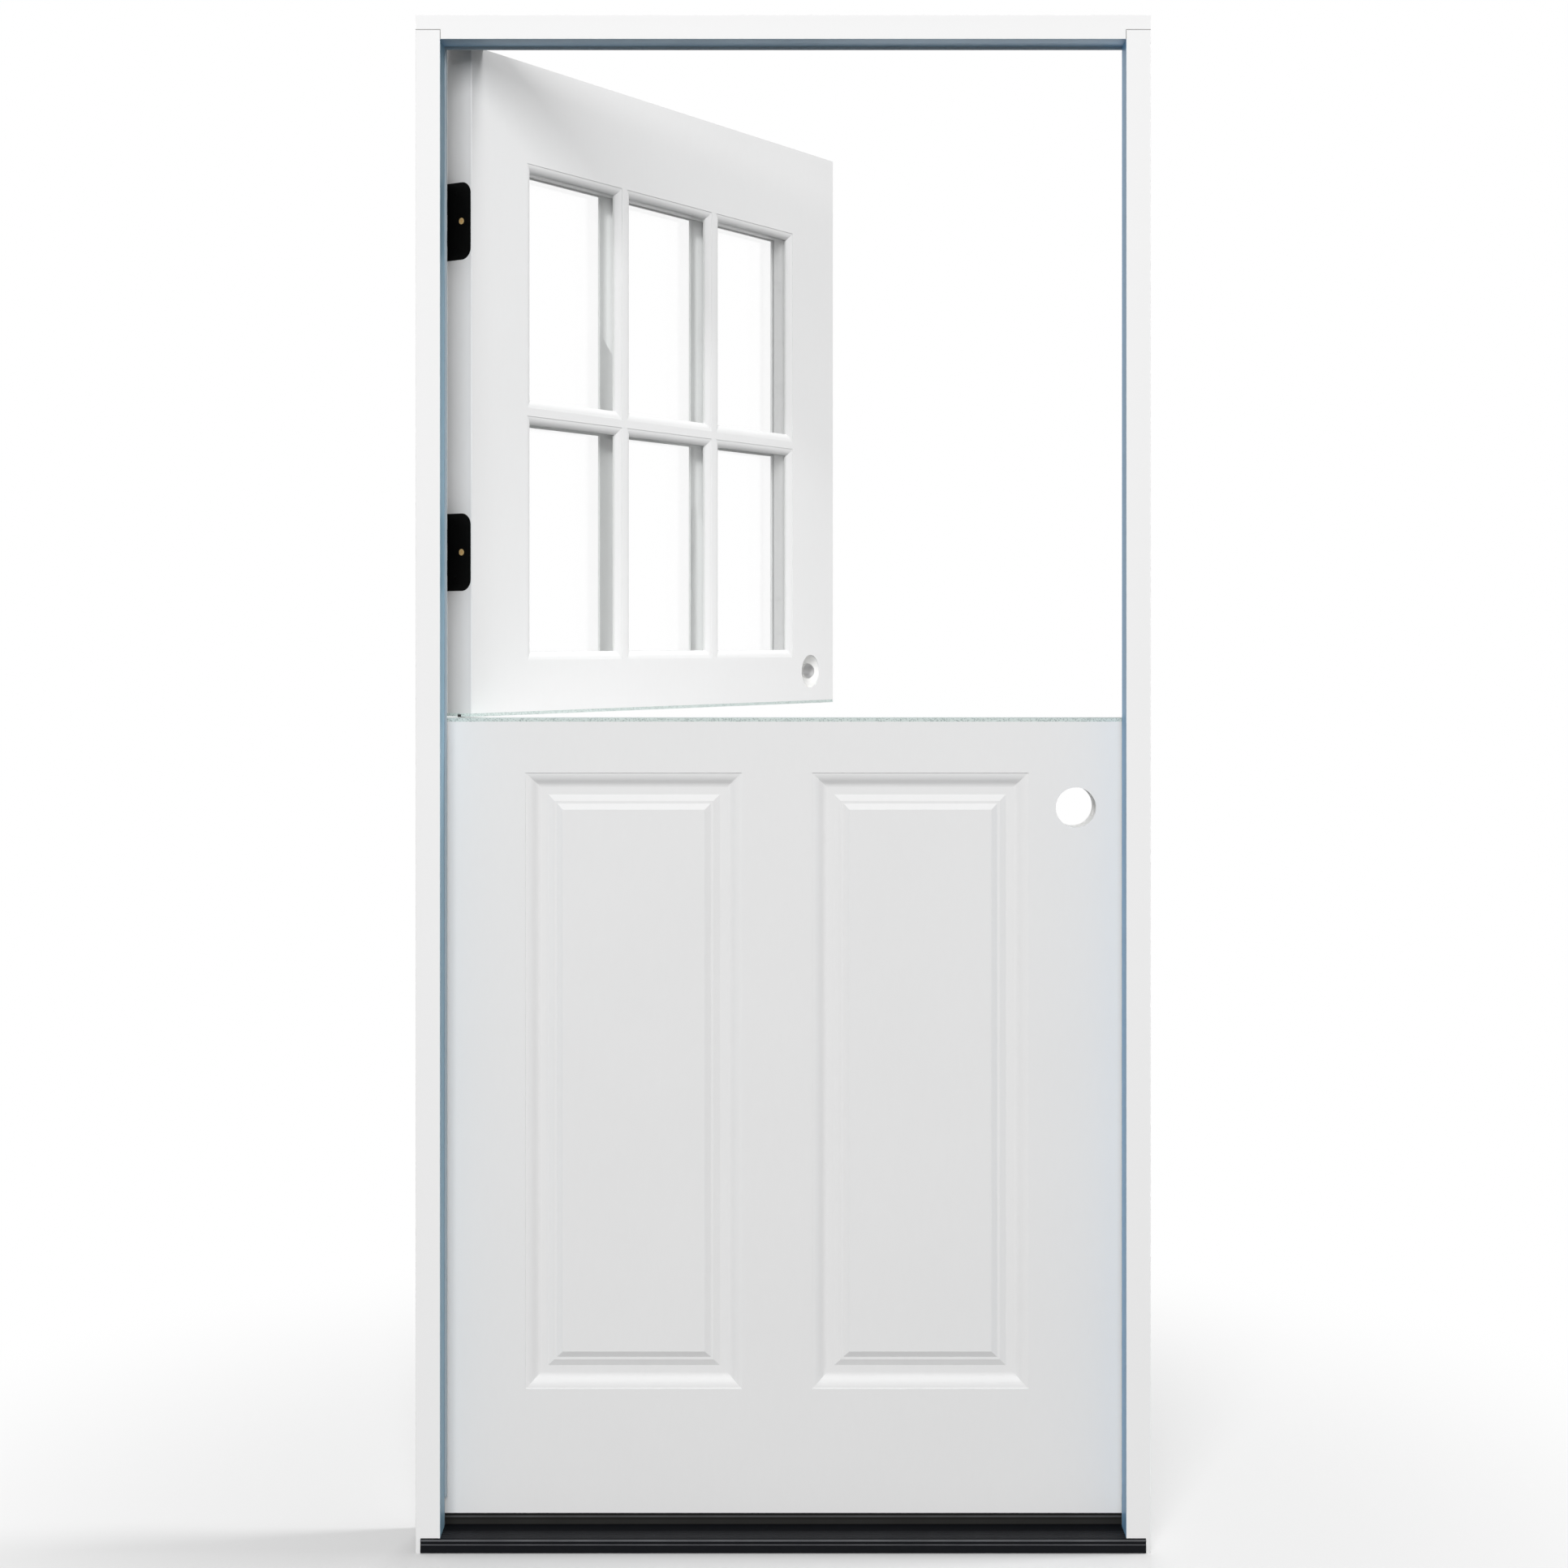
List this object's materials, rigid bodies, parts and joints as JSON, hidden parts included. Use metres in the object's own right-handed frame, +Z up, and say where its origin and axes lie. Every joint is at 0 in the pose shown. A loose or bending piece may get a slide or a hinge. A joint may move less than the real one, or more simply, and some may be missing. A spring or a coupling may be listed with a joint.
{
  "type": "dutch stable door",
  "caption": "White dutch stable door in its frame and sill: glazed upper leaf and panelled lower leaf that swing inwards on their own hinges.",
  "frame": {"origin": "on the underside of the sill, midway between the jambs and midway through their depth", "axes": "+X to the right seen from outside, +Y from outside to inside, +Z up"},
  "size_m": [0.97, 0.8731, 2.03],
  "materials": {
    "jamb": "satin white, blue-grey on the stop faces",
    "door_skin": "smooth primed white",
    "edge_wood": "primed grey-white edges",
    "hidden_wood": "bare softwood",
    "bored_block": "primed white, as seen inside the lock bores",
    "foam": "rigid foam",
    "meeting_cap": "mottled grey-green",
    "weatherstrip": "blue-grey foam in a smooth skin",
    "seal_rubber": "matt black",
    "glazing_gasket": "white",
    "glass": "clear",
    "spacer": "satin",
    "sill_metal": "black, satin, extruded",
    "sill_cap": "brown-black composite",
    "sill_core": "grey composite",
    "black_hinge": "black, satin",
    "black_screw": "black",
    "brass_screw": "dull brass",
    "steel_screw": "zinc plated"
  },
  "bodies": {
    "frame": {"hinge_jamb": "jamb", "strike_jamb": "jamb", "head_jamb": "jamb", "hinge_weatherstrip": "weatherstrip", "strike_weatherstrip": "weatherstrip", "head_weatherstrip": "weatherstrip", "corner_pads": "weatherstrip", "head_screws": "steel_screw", "sill_screws": "steel_screw", "sill_base": "sill_core", "sill_tread": "sill_metal", "sill_cap": "sill_cap", "sill_cap_screws": "steel_screw", "frame_hinge_screws": "black_screw", "lower_bottom_hinge_frame_half": "black_hinge", "lower_bottom_hinge_pin": "black_hinge", "lower_top_hinge_frame_half": "black_hinge", "lower_top_hinge_pin": "black_hinge", "upper_bottom_hinge_frame_half": "black_hinge", "upper_bottom_hinge_pin": "black_hinge", "upper_top_hinge_frame_half": "black_hinge", "upper_top_hinge_pin": "black_hinge"},
    "lower_leaf": {"lower_outer_skin": "door_skin", "lower_inner_skin": "door_skin", "lower_hinge_stile": "edge_wood", "lower_lock_stile": "edge_wood", "lower_lock_block": "bored_block", "lower_top_rail": "edge_wood", "lower_bottom_rail": "edge_wood", "lower_core": "foam", "lower_meeting_cap": "meeting_cap", "lower_hinge_screws": "black_screw", "lower_hinge_middle_screws": "brass_screw", "lower_bottom_hinge_leaf_half": "black_hinge", "lower_top_hinge_leaf_half": "black_hinge", "bottom_sweep": "seal_rubber"},
    "upper_leaf": {"upper_outer_skin": "door_skin", "upper_inner_skin": "door_skin", "upper_hinge_stile": "edge_wood", "upper_lock_stile": "edge_wood", "upper_lock_block": "bored_block", "upper_top_rail": "edge_wood", "upper_bottom_rail": "edge_wood", "upper_core": "foam", "upper_meeting_cap": "meeting_cap", "upper_hinge_screws": "black_screw", "upper_hinge_middle_screws": "brass_screw", "upper_bottom_hinge_leaf_half": "black_hinge", "upper_top_hinge_leaf_half": "black_hinge", "light_liner": "hidden_wood", "outer_gasket": "glazing_gasket", "inner_gasket": "glazing_gasket", "outer_glass": "glass", "inner_glass": "glass", "glass_spacer": "spacer", "meeting_seal": "seal_rubber"}
  },
  "joints": [
    {"name": "lower_swing", "type": "hinge", "parent": "frame", "child": "lower_leaf", "pos_m": [-0.4635, 0.0523, 0.5685], "axis": [0, 0, 1], "range_deg": [0, 175]},
    {"name": "upper_swing", "type": "hinge", "parent": "frame", "child": "upper_leaf", "pos_m": [-0.4635, 0.0523, 1.5479], "axis": [0, 0, 1], "range_deg": [-57, 118]}
  ]
}
